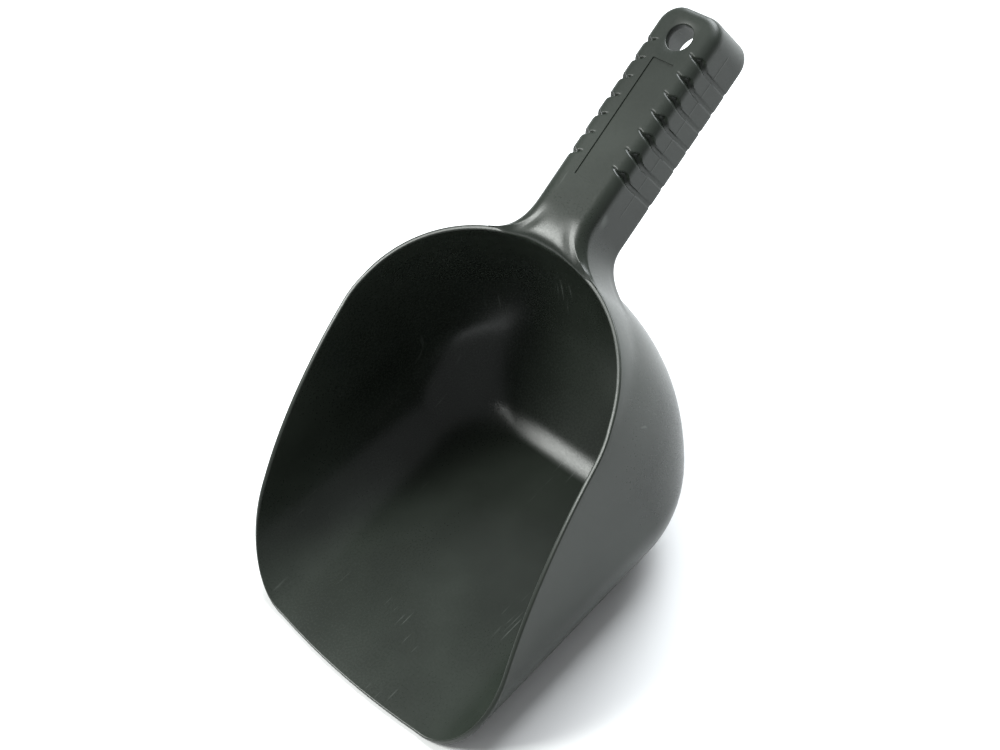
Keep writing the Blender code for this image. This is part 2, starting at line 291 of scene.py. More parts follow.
class Skin:
    """Collects grids and strips of points into one list of faces."""

    def __init__(self):
        self.points = []
        self.faces = []

    def add(self, grid):
        """Adds a grid of points and returns its table of point numbers."""
        grid = np.asarray(grid, float)
        rows, columns = grid.shape[:2]
        first = len(self.points)
        self.points.extend(grid.reshape(-1, 3))
        return np.arange(first, first + rows * columns).reshape(rows, columns)

    def weave(self, table):
        """Quads between neighbouring rows and columns of a table."""
        for row in range(table.shape[0] - 1):
            for column in range(table.shape[1] - 1):
                self.faces.append((
                    int(table[row, column]),
                    int(table[row, column + 1]),
                    int(table[row + 1, column + 1]),
                    int(table[row + 1, column]),
                ))

    def sheet(self, grid):
        self.weave(self.add(grid))


def flat_fill(skin, outline, openings, place):
    """Fills a flat outline, leaving the openings open, and puts it in place by a function."""
    loops = [outline] + openings
    spots, edges = [], []
    for loop in loops:
        first = len(spots)
        spots += [Vector(p) for p in loop]
        edges += [(first + k, first + (k + 1) % len(loop)) for k in range(len(loop))]
    found = delaunay_2d_cdt(spots, edges, [], 0, 1e-6)
    places, triangles = found[0], found[2]
    table = skin.add([[place(p[0], p[1]) for p in places]])[0]
    for triangle in triangles:
        middle = sum((places[k] for k in triangle), Vector((0, 0))) / 3
        in_opening = any(lies_inside(middle, opening) for opening in openings)
        if lies_inside(middle, outline) and not in_opening:
            skin.faces.append(tuple(int(table[k]) for k in triangle))


def lies_inside(spot, loop):
    """Whether a spot lies inside a closed loop of points."""
    odd = False
    for (x1, y1), (x2, y2) in zip(loop, loop[1:] + loop[:1]):
        if (y1 > spot[1]) != (y2 > spot[1]):
            if spot[0] < x1 + (spot[1] - y1) * (x2 - x1) / (y2 - y1):
                odd = not odd
    return odd


# Bowl ------------------------------------------------------------------------------------------

SIDE_COLUMNS = 64
CORNER_COLUMNS = 72
BACK_COLUMNS = 10
WALL_ROWS = 84
LIP_COLUMNS = 40
EDGE_STEPS = 10


def wall_columns():
    """Places t of the wall's columns, closer together near the lip."""
    side = np.linspace(0, 1, SIDE_COLUMNS + 1) ** 1.6
    corner = np.linspace(1, 2, CORNER_COLUMNS + 1)[1:]
    back = np.linspace(2, 3, BACK_COLUMNS + 1)[1:]
    return np.concatenate([side, corner, back])


def wall_grids():
    """Outside and inside of the right wall; rows climb from the floor to the rim."""
    outside, inside = [], []
    for t in wall_columns():
        top = top_of_column(t)
        outer = []
        inner = []
        for row in range(WALL_ROWS + 1):
            share = row / WALL_ROWS
            z = top * (0.65 * share ** 2 + 0.35 * share ** 3)
            place = wall_point(t, z)
            outer.append(place)
            inner.append(place - WALL * wall_normal(t, z))
        outside.append(outer)
        inside.append(inner)
    return np.array(outside), np.array(inside)


def edge_band(outer, inner, beyond):
    """Rounded edge between two lines of points, standing out in the directions given."""
    rows = []
    for step in range(EDGE_STEPS + 1):
        turn = math.pi * step / EDGE_STEPS
        across = math.copysign(abs(math.cos(turn)) ** RIM_FULLNESS, math.cos(turn))
        out = math.sin(turn) ** RIM_FULLNESS if 0 < step < EDGE_STEPS else 0.0
        middle = (outer + inner) / 2
        rows.append(middle + across * (outer - inner) / 2 + out * RIM_ROUND * beyond)
    return np.array(rows)


def floor_point(side, share):
    """Point of the floor across from its right side, following the bowed lip near the front."""
    forward = LIP_BOW * (1 - share * share) * bow_share(side[1] - RIM_ROUND)
    return np.array([side[0] * share, side[1] - forward, side[2]])


def fill_floor(skin, foot):
    """Flat floor inside the foot of the right wall and its mirror, out to the bowed lip."""
    left = [p * np.array([-1, 1, 1]) for p in reversed(foot[:-1])]
    lip = [floor_point(foot[0], share) for share in np.linspace(-1, 1, LIP_COLUMNS + 1)[1:-1]]
    outline = [(p[0], p[1]) for p in foot + left + lip]
    height = foot[0][2]
    flat_fill(skin, outline, [], lambda x, y: np.array([x, y, height]))


def make_bowl():
    """The whole bowl as one closed shell: floor, walls and rounded rim."""
    outside, inside = wall_grids()
    skin = Skin()
    mirror = np.array([-1.0, 1.0, 1.0])
    for grid in (outside, inside):
        skin.sheet(grid)
        skin.sheet(grid * mirror)
        fill_floor(skin, list(grid[:, 0]))
    outer_rim, inner_rim = outside[:, -1], inside[:, -1]
    run = np.gradient(outer_rim, axis=0)
    run[-1] = (-1.0, 0.0, 0.0)
    run[0] = (1.0, 0.0, 0.0)
    wall = outer_rim - inner_rim
    beyond = np.cross(wall, run)
    beyond /= np.linalg.norm(beyond, axis=1)[:, None]
    beyond[0] = (0.0, -1.0, 0.0)
    flip = np.where((beyond * (outside[:, -1] - outside[:, -2])).sum(1) < 0, -1.0, 1.0)
    flip[0] = 1.0
    beyond *= flip[:, None]
    band = edge_band(outer_rim, inner_rim, beyond)
    skin.sheet(band)
    skin.sheet(band * mirror)
    across = np.linspace(1, -1, LIP_COLUMNS + 1)
    skin.sheet([[floor_point(p, share) for share in across] for p in band[:, 0]])
    return mesh_object("bowl_shell", skin.points, skin.faces, merge=0.01)


# Handle and neck -------------------------------------------------------------------------------

SHOULDER_LEVELS = 20
SIDE_LEVELS = 14
GROOVE_STATION = 0.36              # spacing of the mesh along the grooved sides
END_STATIONS = 18
END_FLAT_STATIONS = 5
NECK_ROWS = 40
NECK_STRAIGHT_ROWS = 7             # of those, the rows before the neck begins to flare
FLAT_LEVELS = 5                    # levels across the flat of the top, before the shoulder
PARTING_LEVELS = (-0.45, -0.22, 0.0, 0.22, 0.45)   # extra levels about the parting line


def grip_levels():
    """The grip's outside as levels, half width and up, from the flat of its top to its foot."""
    line = [np.array([half, 0.0]) for half in np.linspace(FLAT_HALF, SHOULDER_START, FLAT_LEVELS)]
    start = np.array([SHOULDER_START, 0.0])
    corner = np.array([SHOULDER_HALF - 0.35, 0.0])
    stop = np.array([SHOULDER_HALF, -SHOULDER_DROP])
    for step in range(1, SHOULDER_LEVELS + 1):
        t = step / SHOULDER_LEVELS
        line.append((1 - t) ** 2 * start + 2 * t * (1 - t) * corner + t * t * stop)
    lean = (FOOT_HALF - SHOULDER_HALF) / (GRIP_DEPTH - SHOULDER_DROP)
    ups = list(np.linspace(-SHOULDER_DROP, -(GRIP_DEPTH - FOOT_ROUND), SIDE_LEVELS + 1)[1:])
    ups += [-PARTING_LINE_DROP + shift for shift in PARTING_LEVELS]
    for up in sorted(ups, reverse=True):
        line.append(np.array([SHOULDER_HALF + lean * (-SHOULDER_DROP - up), up]))
    centre = np.array([line[-1][0] - FOOT_ROUND, -(GRIP_DEPTH - FOOT_ROUND)])
    for step in range(1, 5):
        turn = step * math.pi / 8
        line.append(centre + FOOT_ROUND * np.array([math.cos(turn), -math.sin(turn)]))
    return line


def grip_girths():
    """The levels as a table, and how far each lies round the outside from the centre line."""
    levels = np.array(grip_levels())
    steps = np.linalg.norm(np.diff(levels, axis=0), axis=1)
    girths = np.concatenate([[FLAT_HALF], FLAT_HALF + np.cumsum(steps)])
    return levels, girths


def girth_at(up):
    """Girth of the grip's side at this height."""
    levels, girths = grip_girths()
    return np.interp(-up, -levels[FLAT_LEVELS:, 1], girths[FLAT_LEVELS:])


def inner_levels(count):
    """The hollow's levels, as many as the outside has, from under the top plate to the foot."""
    fillet = HOLLOW_FILLET
    lean = (FOOT_HALF - SHOULDER_HALF) / (GRIP_DEPTH - SHOULDER_DROP)
    wall = SHOULDER_HALF - GRIP_WALL
    line = [np.array([half, -TOP_PLATE]) for half in np.linspace(FLAT_HALF, wall - fillet, 4)]
    centre = np.array([wall - fillet, -TOP_PLATE - fillet])
    for step in range(1, 6):
        turn = step * math.pi / 10
        line.append(centre + fillet * np.array([math.sin(turn), math.cos(turn)]))
    rest = count - len(line) - 4
    for up in np.linspace(-TOP_PLATE - fillet, -(GRIP_DEPTH - FOOT_ROUND), rest + 1)[1:]:
        line.append(np.array([wall + lean * (-SHOULDER_DROP - up), up]))
    centre = np.array([line[-1][0] + FOOT_ROUND, -(GRIP_DEPTH - FOOT_ROUND)])
    for step in range(1, 5):
        turn = step * math.pi / 8
        line.append(centre + FOOT_ROUND * np.array([-math.cos(turn), -math.sin(turn)]))
    return line


def level_plan(half, inset):
    """Reach and corner radius of the plan of a level that is this far inside the foot's plan."""
    if half >= SHOULDER_HALF - inset:
        step_in = FOOT_HALF - half
        return HANDLE_LENGTH - step_in, END_RADIUS - step_in
    side = FOOT_HALF - SHOULDER_HALF + inset
    step_in = side + (SHOULDER_HALF - inset - half) * END_SLOPE
    return HANDLE_LENGTH - step_in, END_RADIUS - side - (SHOULDER_HALF - inset - half) * 0.8


def level_ring(half, up, inset=0.0):
    """Half of a level's plan, from the neck along the right side to the middle of the end."""
    reach, radius = level_plan(half, inset)
    stations = int(round((HANDLE_LENGTH - END_RADIUS - NECK_LENGTH) / GROOVE_STATION))
    ring = [(half, a) for a in np.linspace(NECK_LENGTH, reach - radius, stations + 1)]
    for step in range(1, END_STATIONS + 1):
        turn = step * math.pi / 2 / END_STATIONS
        ring.append((half - radius + radius * math.cos(turn), reach - radius + radius * math.sin(turn)))
    for x in np.linspace(half - radius, 0, END_FLAT_STATIONS + 1)[1:]:
        ring.append((x, reach))
    return [(x, a, up) for x, a in ring]


def whole_ring(half_ring):
    """A level's plan with its mirrored left side."""
    return half_ring + [(-x, a, up) for x, a, up in reversed(half_ring[:-1])]


def circle(radius, count=64):
    """A circle round the hang hole."""
    turns = [2 * math.pi * k / count for k in range(count)]
    return [(radius * math.cos(turn), HOLE_ALONG + radius * math.sin(turn)) for turn in turns]


TOP_SAMPLES = [FLAT_HALF * share for share in (0.75, 0.5, 0.25, 0.0, -0.25, -0.5, -0.75)]


def panel_outline(half, start, stop):
    """Outline of the sunk panel with its small rounded corners."""
    radius = PANEL_CORNER
    corners = ((half, stop, 0), (-half, stop, 1), (-half, start, 2), (half, start, 3))
    loop = []
    for x, along, quarter in corners:
        centre_x = x - math.copysign(radius, x)
        centre_a = along - radius if along == stop else along + radius
        for step in range(5):
            turn = (quarter + step / 4) * math.pi / 2
            loop.append((centre_x + radius * math.cos(turn), centre_a + radius * math.sin(turn)))
    return loop


def level_place(up):
    """Places flat outlines at this height over the handle's top face."""
    return lambda x, along: from_handle(x, along, up)


def closed_strip(skin, low_loop, low_up, high_loop, high_up):
    """Band of quads between two closed loops at their own heights."""
    low = [from_handle(x, a, low_up) for x, a in low_loop + low_loop[:1]]
    high = [from_handle(x, a, high_up) for x, a in high_loop + high_loop[:1]]
    skin.sheet([low, high])


def wall_along(x, up):
    """Place along the handle where this line across meets the outside of the bowl."""
    along = 0.0
    for _ in range(40):
        _, y, z = from_handle(x, along, up)
        along += (back_wall_y(x, min(max(z, 1.0), RIM_HEIGHT * 1.05)) - y) * 0.7
    return along


def rim_table():
    """Outer and inner top edge of the right half of the back rim, and the way up the wall there."""
    rows = []
    for t in np.linspace(1.0, 3.0, 260):
        z = top_of_column(t, rim_height)
        outer = wall_point(t, z)
        normal = wall_normal(t, z)
        up = outer - wall_point(t, z - 1.0)
        rows.append(np.concatenate([outer, outer - WALL * normal, up / np.linalg.norm(up)]))
    rows = np.array(rows)
    return rows[np.argsort(rows[:, 0])]


RIM = rim_table()


def rim_at(x):
    """Outer edge, inner edge and upward direction of the back rim at this distance across."""
    found = np.array([np.interp(abs(x), RIM[:, 0], RIM[:, k]) for k in range(9)])
    outer, inner, up = found[:3], found[3:6], found[6:]
    outer[0] = abs(x)
    if x < 0:
        for place in (outer, inner, up):
            place[0] = -place[0]
    return outer, inner, up


def unit(vector):
    return vector / np.linalg.norm(vector)


def handle_up(place):
    """Height of a point over the plane of the handle's top face."""
    return -(place[1] - NECK_Y) * math.sin(RISE) + (place[2] - NECK_Z) * math.cos(RISE)


def rim_corner(x, across):
    """Where a line at x meets the rim's own direction at the place across, carried back to it."""
    outer = rim_at(across)[0]
    run = unit(rim_at(across + 0.5)[0] - rim_at(across - 0.5)[0])
    return outer - run * (across - x) / run[0]


def outer_landing(x, up):
    """Where a line of the neck's outside ends on the bowl, and the corner that its flare rounds off."""
    flat_reach = NECK_RIM_REACH - 1.5
    if up > -0.02 and x <= SHOULDER_START:
        share = x / SHOULDER_START
        across = share * flat_reach
        outer, inner, climb = rim_at(across)
        stop = inner - 1.0 * climb + (outer - inner + 0.8 * climb) * smooth(share * 4 - 3)
        back = rim_corner(x, max(across, 1.0)) - rim_at(across)[0]
        turn = NECK_TOP_TURN + (NECK_EDGE_TURN - NECK_TOP_TURN) * smooth(share * 1.5 - 0.5)
        second = stop + climb * turn + (outer - inner) * 0.4 * (1 - share) + back * share * NECK_HANDLE
        return stop, second, from_handle(x, wall_along(x, up), up)
    if up >= -SHOULDER_DROP:
        share = min((x - SHOULDER_START) / (SHOULDER_HALF - SHOULDER_START), 1.0)
        across = flat_reach + 1.5 * share
        outer, _, climb = rim_at(across)
        stop = outer - (0.2 + 1.3 * share) * climb
        back = rim_corner(x, across) - outer
        second = stop + climb * NECK_EDGE_TURN * (1 - share) + back * NECK_HANDLE
        return stop, second, from_handle(x, wall_along(x, up), up)
    share = (up + SHOULDER_DROP) / (SHOULDER_DROP - GRIP_DEPTH)
    across = NECK_RIM_REACH + (NECK_FOOT_REACH - NECK_RIM_REACH) * share
    outer, _, climb = rim_at(NECK_RIM_REACH)
    rim_up = handle_up(outer - 1.5 * climb)
    level = rim_up + (-GRIP_DEPTH - rim_up) * share
    stop = from_handle(across, wall_along(across, level), level)
    run = from_handle(across + 0.5, wall_along(across + 0.5, level), level)
    run = unit(run - from_handle(across - 0.5, wall_along(across - 0.5, level), level))
    second = stop - run * (across - x) / run[0] * NECK_HANDLE
    return stop, second, from_handle(x, wall_along(x, up), up)


def inner_landing(x, up):
    """The same for the neck's hollow, which ends inside the bowl's wall."""
    wall = SHOULDER_HALF - GRIP_WALL
    if up >= -TOP_PLATE - 0.02:
        share, across = 0.0, x / wall * HOLLOW_TOP_REACH
    else:
        share = (up + TOP_PLATE) / (TOP_PLATE - GRIP_DEPTH)
        widening = NECK_FOOT_REACH - HOLLOW_FOOT_INSET - HOLLOW_TOP_REACH
        across = HOLLOW_TOP_REACH + widening * share
    level = -HOLLOW_TOP_DROP + (-GRIP_DEPTH + HOLLOW_TOP_DROP) * share
    stop = from_handle(across, wall_along(across, level), level)
    later = from_handle(across + 0.5, wall_along(across + 0.5, level), level)
    sideways = unit(later - stop)
    inward = unit(np.cross(handle_direction(0, 0, 1), sideways))
    if inward[1] > 0:
        inward = -inward
    corner = from_handle(x, wall_along(x, level), level)
    sunk = stop + HOLLOW_SINK * inward
    return sunk, sunk + (corner - stop) * NECK_HANDLE, corner


def neck_line(x, up, landing):
    """One line of the neck from the grip to the bowl, as a row of points."""
    begin = from_handle(x, NECK_LENGTH, up)
    turn = from_handle(x, NECK_FLARE_START, up)
    stop, second, corner = landing(abs(x), up)
    if x < 0:
        mirror = np.array([-1, 1, 1])
        stop, second, corner = stop * mirror, second * mirror, corner * mirror
    first = turn + handle_direction(0, -1, 0) * np.linalg.norm(corner - turn) * NECK_HANDLE
    straight = NECK_STRAIGHT_ROWS
    line = [begin + (turn - begin) * row / straight for row in range(straight)]
    for row in range(NECK_ROWS - straight + 1):
        t = row / (NECK_ROWS - straight)
        line.append(
            (1 - t) ** 3 * turn
            + 3 * t * (1 - t) ** 2 * first
            + 3 * t * t * (1 - t) * second
            + t ** 3 * stop
        )
    return line


def make_handle():
    """Grip and neck as one closed skin, before its grooves are cut."""
    skin = Skin()
    outer = grip_levels()
    inner = inner_levels(len(outer))
    outer_rings = [whole_ring(level_ring(half, up)) for half, up in outer]
    inner_rings = [whole_ring(level_ring(half, up, GRIP_WALL)) for half, up in inner]
    skin.sheet([[from_handle(*p) for p in ring] for ring in outer_rings])
    skin.sheet([[from_handle(*p) for p in ring] for ring in inner_rings])
    foot = [outer_rings[-1], inner_rings[-1]]
    skin.sheet([[from_handle(*p) for p in ring] for ring in foot])

    top_loop = [(x, a) for x, a, _ in outer_rings[0]] + [(-x, NECK_LENGTH) for x in TOP_SAMPLES]
    under_loop = [(x, a) for x, a, _ in inner_rings[0]] + [(-x, NECK_LENGTH) for x in TOP_SAMPLES]
    rim_of_hole = circle(HOLE_RADIUS + HOLE_BEVEL)
    wall_of_hole = circle(HOLE_RADIUS)
    panel_top = panel_outline(PANEL_HALF, PANEL_START, PANEL_STOP)
    panel_floor = panel_outline(
        PANEL_HALF - PANEL_SLOPE, PANEL_START + PANEL_SLOPE, PANEL_STOP - PANEL_SLOPE
    )
    flat_fill(skin, top_loop, [rim_of_hole, panel_top], level_place(0.0))
    closed_strip(skin, panel_top, 0.0, panel_floor, -PANEL_DEPTH)
    flat_fill(skin, panel_floor, [], level_place(-PANEL_DEPTH))
    eased = circle(HOLE_RADIUS + HOLE_EASE)
    closed_strip(skin, rim_of_hole, 0.0, eased, -HOLE_EASE)
    closed_strip(skin, eased, -HOLE_EASE, wall_of_hole, -HOLE_BEVEL)
    closed_strip(skin, wall_of_hole, -HOLE_BEVEL, wall_of_hole, -TOP_PLATE)
    flat_fill(skin, under_loop, [wall_of_hole], level_place(-TOP_PLATE))

    right = [(half, up) for half, up in outer]
    outer_profile = right[::-1] + [(x, 0.0) for x in TOP_SAMPLES] + [(-x, up) for x, up in right]
    right = [(half, up) for half, up in inner]
    inner_profile = right[::-1] + [(x, -TOP_PLATE) for x in TOP_SAMPLES] + [(-x, up) for x, up in right]
    outer_lines = [neck_line(x, up, outer_landing) for x, up in outer_profile]
    inner_lines = [neck_line(x, up, inner_landing) for x, up in inner_profile]
    skin.sheet(outer_lines)
    skin.sheet(inner_lines)
    skin.sheet([outer_lines[0], inner_lines[0]])
    skin.sheet([outer_lines[-1], inner_lines[-1]])
    skin.sheet([[line[-1] for line in outer_lines], [line[-1] for line in inner_lines]])
    return mesh_object("handle_blank", skin.points, skin.faces, merge=0.01)


def measure_grip(blank):
    """Stores how far along the handle and round its side each point of the outside is."""
    mesh = blank.data
    count = len(mesh.vertices)
    places = np.empty(count * 3)
    mesh.vertices.foreach_get("co", places)
    places = places.reshape(-1, 3) / MM - np.array([0.0, LIP_Y, 0.0])
    away = places - from_handle(0, 0, 0)
    along = away @ handle_direction(0, 1, 0)
    up = away @ handle_direction(0, 0, 1)
    levels = np.array(grip_levels())
    half = np.abs(places[:, 0])
    girth = np.where(up > -0.01, half, girth_at(up))
    limit = np.interp(-up, -levels[FLAT_LEVELS:, 1], levels[FLAT_LEVELS:, 0])
    on_outside = (half > limit - 0.35) | ((up > -0.01) & (half > FLAT_HALF - 0.1))
    on_side = along < HANDLE_LENGTH - END_RADIUS + 0.5
    for name, values in (
        ("along", along),
        ("girth", girth),
        ("cuttable", (on_outside & on_side & (along >= NECK_LENGTH - 0.01)).astype(float)),
    ):
        layer = mesh.attributes.new(name, "FLOAT", "POINT")
        layer.data.foreach_set("value", values.astype(np.float32))


# Groove cutting with Geometry Nodes ------------------------------------------------------------

class Tree:
    """Short ways to add nodes to a geometry tree."""

    def __init__(self, name):
        self.tree = bpy.data.node_groups.new(name, "GeometryNodeTree")
        self.tree.interface.new_socket("Geometry", in_out="INPUT", socket_type="NodeSocketGeometry")
        self.tree.interface.new_socket("Geometry", in_out="OUTPUT", socket_type="NodeSocketGeometry")

    def size(self, name, value):
        socket = self.tree.interface.new_socket(name, in_out="INPUT", socket_type="NodeSocketFloat")
        socket.default_value = value

    def material(self, name):
        self.tree.interface.new_socket(name, in_out="INPUT", socket_type="NodeSocketMaterial")

    def node(self, kind, **settings):
        made = self.tree.nodes.new(kind)
        for key, value in settings.items():
            setattr(made, key, value)
        return made

    def link(self, source, target):
        if hasattr(source, "is_output"):
            self.tree.links.new(source, target)
        else:
            target.default_value = source

    def math(self, operation, *values):
        made = self.node("ShaderNodeMath", operation=operation)
        for socket, value in zip(made.inputs, values):
            self.link(value, socket)
        return made.outputs[0]

    def ramp(self, value, low, high, start=0.0, stop=1.0, smoothly=True):
        kind = "SMOOTHSTEP" if smoothly else "LINEAR"
        made = self.node("ShaderNodeMapRange", interpolation_type=kind, clamp=True)
        for socket, source in zip(made.inputs, (value, low, high, start, stop)):
            self.link(source, socket)
        return made.outputs[0]

    def attribute(self, name):
        made = self.node("GeometryNodeInputNamedAttribute", data_type="FLOAT")
        made.inputs["Name"].default_value = name
        return made.outputs["Attribute"]


def groove_tree():
    """Cuts the row of grooves into both sides of a grip and raises the mould's parting line."""
    build = Tree("Cut grip grooves")
    for name, value in (
        ("Count", GROOVES),
        ("Pitch", GROOVE_PITCH),
        ("First", FIRST_GROOVE),
        ("Width", GROOVE_WIDTH),
        ("Depth", GROOVE_DEPTH),
        ("Mouth width", MOUTH_WIDTH),
        ("Mouth depth", MOUTH_DEPTH),
        ("Foot share", GROOVE_FOOT_SHARE),
        ("Slant", SLOT_SLANT),
        ("Slot start", SLOT_START),
        ("Slot end", SLOT_END),
        ("Parting line", PARTING_LINE_DROP),
        ("Parting line rise", PARTING_LINE_RISE),
    ):
        build.size(name, value)
    build.material("Plastic")
    given = build.node("NodeGroupInput")
    size = given.outputs
    along = build.attribute("along")
    girth = build.attribute("girth")

    down_side = build.ramp(girth, size["Slot start"], size["Slot end"], smoothly=False)
    lean = build.math("MULTIPLY", size["Slant"], build.math("SUBTRACT", 1.0, down_side))
    spare = build.math("MULTIPLY", size["Pitch"], build.math("SUBTRACT", size["Count"], 1.0))
    from_first = build.math("SUBTRACT", build.math("SUBTRACT", along, size["First"]), lean)
    from_last = build.math("ADD", from_first, spare)
    number = build.math("FLOOR", build.math("DIVIDE", from_last, size["Pitch"]))
    local = build.math("SUBTRACT", from_last, build.math("MULTIPLY", number, size["Pitch"]))
    low_enough = build.math("GREATER_THAN", number, -0.5)
    high_enough = build.math("LESS_THAN", number, build.math("SUBTRACT", size["Count"], 0.5))
    in_row = build.math("MULTIPLY", low_enough, high_enough)

    shoulder = build.ramp(down_side, MOUTH_FROM, 1.0)
    past = build.math("SUBTRACT", girth, size["Slot end"])
    shut = build.ramp(past, MOUTH_SHUT_START, MOUTH_SHUT_END)
    mouth = build.math("MULTIPLY", shoulder, build.math("SUBTRACT", 1.0, shut))
    side_width = build.math("SUBTRACT", size["Width"], build.math("SUBTRACT", 1.0, shoulder))
    width = build.math("ADD", side_width, build.math("MULTIPLY", mouth, size["Mouth width"]))
    run_in = build.math("ADD", GROOVE_EDGE, build.math("MULTIPLY", mouth, size["Mouth width"]))
    into = build.ramp(local, 0.0, run_in)
    risen = build.ramp(local, build.math("SUBTRACT", width, GROOVE_EDGE), width)
    out = build.math("SUBTRACT", 1.0, risen)
    begin = build.ramp(down_side, 0.0, SLOT_RUN_IN)
    shape = build.math("MULTIPLY", build.math("MULTIPLY", into, out), build.math("MULTIPLY", begin, in_row))
    deeper = build.math("ADD", size["Depth"], build.math("MULTIPLY", mouth, size["Mouth depth"]))
    foot = build.ramp(past, FOOT_FADE_START, FOOT_FADE_END, 1.0, size["Foot share"])
    cut = build.math("MULTIPLY", build.math("MULTIPLY", shape, deeper), foot)

    near_line = build.math("ABSOLUTE", build.math("SUBTRACT", girth, size["Parting line"]))
    crest = build.ramp(near_line, PARTING_LINE_HALF, PARTING_LINE_CREST)
    line = build.math("MULTIPLY", crest, size["Parting line rise"])
    free = build.math("SUBTRACT", 1.0, shape)
    in_grip = build.ramp(along, NECK_LENGTH, NECK_LENGTH + PARTING_LINE_FADE)
    line = build.math("MULTIPLY", build.math("MULTIPLY", line, free), in_grip)
    offset = build.math("MULTIPLY", build.math("SUBTRACT", line, cut), MM)
    offset = build.math("MULTIPLY", offset, build.attribute("cuttable"))

    normal = build.node("GeometryNodeInputNormal")
    scaled = build.node("ShaderNodeVectorMath", operation="SCALE")
    build.link(normal.outputs[0], scaled.inputs[0])
    build.link(offset, scaled.inputs["Scale"])
    moved = build.node("GeometryNodeSetPosition")
    build.link(size["Geometry"], moved.inputs["Geometry"])
    build.link(scaled.outputs[0], moved.inputs["Offset"])
    real = build.node("GeometryNodeRealizeInstances")
    build.link(moved.outputs[0], real.inputs[0])
    finish = build.node("GeometryNodeSetMaterial")
    build.link(real.outputs[0], finish.inputs["Geometry"])
    build.link(size["Plastic"], finish.inputs["Material"])
    result = build.node("NodeGroupOutput")
    build.link(finish.outputs[0], result.inputs["Geometry"])
    return build.tree


def set_input(modifier, name, value):
    """Sets a tree's named input through its socket's identifier."""
    for item in modifier.node_group.interface.items_tree:
        if item.item_type == "SOCKET" and item.in_out == "INPUT" and item.name == name:
            modifier[item.identifier] = value


def cut_grooves(blank, plastic):
    """The finished handle as a plain mesh."""
    girth_of_line = float(girth_at(-PARTING_LINE_DROP))
    modifier = blank.modifiers.new("grooves", "NODES")
    modifier.node_group = groove_tree()
    set_input(modifier, "Plastic", plastic)
    set_input(modifier, "Parting line", girth_of_line)
    graph = bpy.context.evaluated_depsgraph_get()
    mesh = bpy.data.meshes.new_from_object(blank.evaluated_get(graph))
    mesh.name = "handle_and_neck"
    for name in ("along", "girth", "cuttable"):
        mesh.attributes.remove(mesh.attributes[name])
    made = bpy.data.objects.new("handle_and_neck", mesh)
    bpy.context.scene.collection.objects.link(made)
    bpy.data.objects.remove(blank)
    return made


# Material --------------------------------------------------------------------------------------

